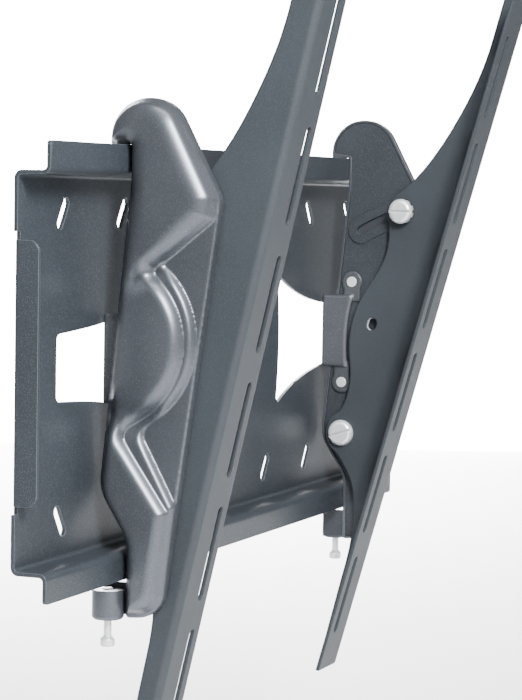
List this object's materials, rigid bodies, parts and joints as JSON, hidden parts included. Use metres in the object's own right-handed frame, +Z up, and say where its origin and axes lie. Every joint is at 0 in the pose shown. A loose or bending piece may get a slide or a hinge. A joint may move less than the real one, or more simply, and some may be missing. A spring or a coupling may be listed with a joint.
{
  "type": "tilting tv wall bracket",
  "caption": "Pressed steel wall plate with sliding hook-on brackets and upright slotted rails that tilt a flat television forward.",
  "frame": {"origin": "on the wall, at the middle of the wall plate's back face", "axes": "+X to the right along the wall, +Y into the wall, +Z up"},
  "size_m": [0.752, 0.2032, 0.6377],
  "materials": {
    "plate_coat": "satin powder coat",
    "bracket_coat": "satin powder coat",
    "rail_coat": "textured powder coat",
    "cover_grey": "satin moulded",
    "grip_grey": "satin moulded",
    "zinc": "bright zinc plate"
  },
  "bodies": {
    "wall": {"wall_plate_middle": "plate_coat", "wall_plate_top": "plate_coat", "wall_plate_bottom": "plate_coat", "wall_plate_left": "plate_coat", "wall_plate_right": "plate_coat"},
    "bracket_left": {"bracket_plate_left": "bracket_coat", "side_cover_left": "cover_grey", "grip_left": "grip_grey", "grip_rivets_left": "zinc", "lock_cup_left": "cover_grey"},
    "rail_left": {"tv_rail_left": "rail_coat", "tilt_bolt_left": "zinc", "tilt_washer_left": "zinc", "lower_bolt_left": "zinc", "lower_nut_left": "zinc", "lower_washer_left": "zinc"},
    "knob_left": {"tilt_knob_left": "zinc"},
    "lock_left": {"lock_screw_left": "zinc"},
    "bracket_right": {"bracket_plate_right": "bracket_coat", "side_cover_right": "cover_grey", "grip_right": "grip_grey", "grip_rivets_right": "zinc", "lock_cup_right": "cover_grey"},
    "rail_right": {"tv_rail_right": "rail_coat", "tilt_bolt_right": "zinc", "tilt_washer_right": "zinc", "lower_bolt_right": "zinc", "lower_nut_right": "zinc", "lower_washer_right": "zinc"},
    "knob_right": {"tilt_knob_right": "zinc"},
    "lock_right": {"lock_screw_right": "zinc"}
  },
  "joints": [
    {"name": "bracket_left_slide", "type": "slide", "parent": "wall", "child": "bracket_left", "axis": [1, 0, 0], "range_m": [-0.102, 0.098]},
    {"name": "rail_left_tilt", "type": "hinge", "parent": "bracket_left", "child": "rail_left", "pos_m": [-0.2318, -0.131, -0.0505], "axis": [1, 0, 0], "range_deg": [-13, 2.7]},
    {"name": "knob_left_turn", "type": "hinge", "parent": "rail_left", "child": "knob_left", "pos_m": [-0.223, -0.07801, 0.11517], "axis": [1, 0, 0], "range_deg": [0, 360]},
    {"name": "lock_left_slide", "type": "slide", "parent": "bracket_left", "child": "lock_left", "axis": [0, 0, 1], "range_m": [0, 0.012]},
    {"name": "bracket_right_slide", "type": "slide", "parent": "wall", "child": "bracket_right", "axis": [1, 0, 0], "range_m": [-0.098, 0.102]},
    {"name": "rail_right_tilt", "type": "hinge", "parent": "bracket_right", "child": "rail_right", "pos_m": [0.2318, -0.131, -0.0505], "axis": [1, 0, 0], "range_deg": [-15.7, 0]},
    {"name": "knob_right_turn", "type": "hinge", "parent": "rail_right", "child": "knob_right", "pos_m": [0.223, -0.08587, 0.11748], "axis": [1, 0, 0], "range_deg": [-360, 0]},
    {"name": "lock_right_slide", "type": "slide", "parent": "bracket_right", "child": "lock_right", "axis": [0, 0, 1], "range_m": [0, 0.012]}
  ]
}
